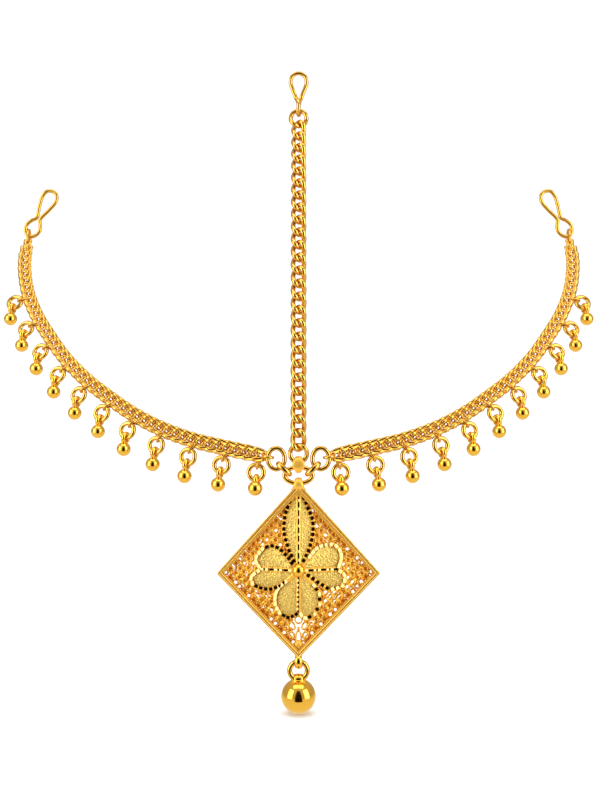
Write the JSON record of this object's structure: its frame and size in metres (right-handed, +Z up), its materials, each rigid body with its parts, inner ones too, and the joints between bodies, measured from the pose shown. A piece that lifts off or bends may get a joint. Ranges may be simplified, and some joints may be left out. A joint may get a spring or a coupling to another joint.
{
  "type": "matha patti",
  "caption": "Gold head jewel of a centre chain and two side chains with ball drops, carrying a pierced rhombic pendant with a ball below.",
  "frame": {"origin": "middle of the top hook's loop, where the jewel is pinned in the hair", "axes": "+Z up, the jewel's front faces -Y, +X to the right seen from the front"},
  "size_m": [0.1688, 0.0569, 0.1662],
  "materials": {
    "polished_gold": "polished deep yellow gold",
    "pendant_gold": "cast and pierced gold with stippled petals and bright cut edges"
  },
  "bodies": {
    "headpiece": {"hook_top": "polished_gold", "hook_left": "polished_gold", "hook_right": "polished_gold", "centre_chain": "polished_gold", "side_chain_left": "polished_gold", "side_chain_right": "polished_gold", "bail_band": "polished_gold", "centre_ring": "polished_gold", "outer_ring_left": "polished_gold", "outer_ring_right": "polished_gold", "link_left": "polished_gold", "link_right": "polished_gold", "ring_left_01": "polished_gold", "bead_left_01": "polished_gold", "ring_left_02": "polished_gold", "bead_left_02": "polished_gold", "ring_left_03": "polished_gold", "bead_left_03": "polished_gold", "ring_left_04": "polished_gold", "bead_left_04": "polished_gold", "ring_left_05": "polished_gold", "bead_left_05": "polished_gold", "ring_left_06": "polished_gold", "bead_left_06": "polished_gold", "ring_left_07": "polished_gold", "bead_left_07": "polished_gold", "ring_left_08": "polished_gold", "bead_left_08": "polished_gold", "ring_left_09": "polished_gold", "bead_left_09": "polished_gold", "ring_left_10": "polished_gold", "bead_left_10": "polished_gold", "ring_left_11": "polished_gold", "bead_left_11": "polished_gold", "ring_right_01": "polished_gold", "bead_right_01": "polished_gold", "ring_right_02": "polished_gold", "bead_right_02": "polished_gold", "ring_right_03": "polished_gold", "bead_right_03": "polished_gold", "ring_right_04": "polished_gold", "bead_right_04": "polished_gold", "ring_right_05": "polished_gold", "bead_right_05": "polished_gold", "ring_right_06": "polished_gold", "bead_right_06": "polished_gold", "ring_right_07": "polished_gold", "bead_right_07": "polished_gold", "ring_right_08": "polished_gold", "bead_right_08": "polished_gold", "ring_right_09": "polished_gold", "bead_right_09": "polished_gold", "ring_right_10": "polished_gold", "bead_right_10": "polished_gold", "ring_right_11": "polished_gold", "bead_right_11": "polished_gold"},
    "pendant": {"pendant": "pendant_gold"},
    "drop_ring": {"drop_ring": "polished_gold"},
    "drop_ball": {"drop_ball": "polished_gold"}
  },
  "joints": [
    {"name": "pendant_swing", "type": "hinge", "parent": "headpiece", "child": "pendant", "pos_m": [0, -0.0184, -0.10574], "axis": [1, 0, 0], "range_deg": [-50, 50]},
    {"name": "drop_ring_swing", "type": "hinge", "parent": "pendant", "child": "drop_ring", "pos_m": [0, -0.0184, -0.1503], "axis": [1, 0, 0], "range_deg": [-35, 35]},
    {"name": "drop_ball_swing", "type": "hinge", "parent": "drop_ring", "child": "drop_ball", "pos_m": [0, -0.0184, -0.15471], "axis": [1, 0, 0], "range_deg": [-30, 30]}
  ]
}
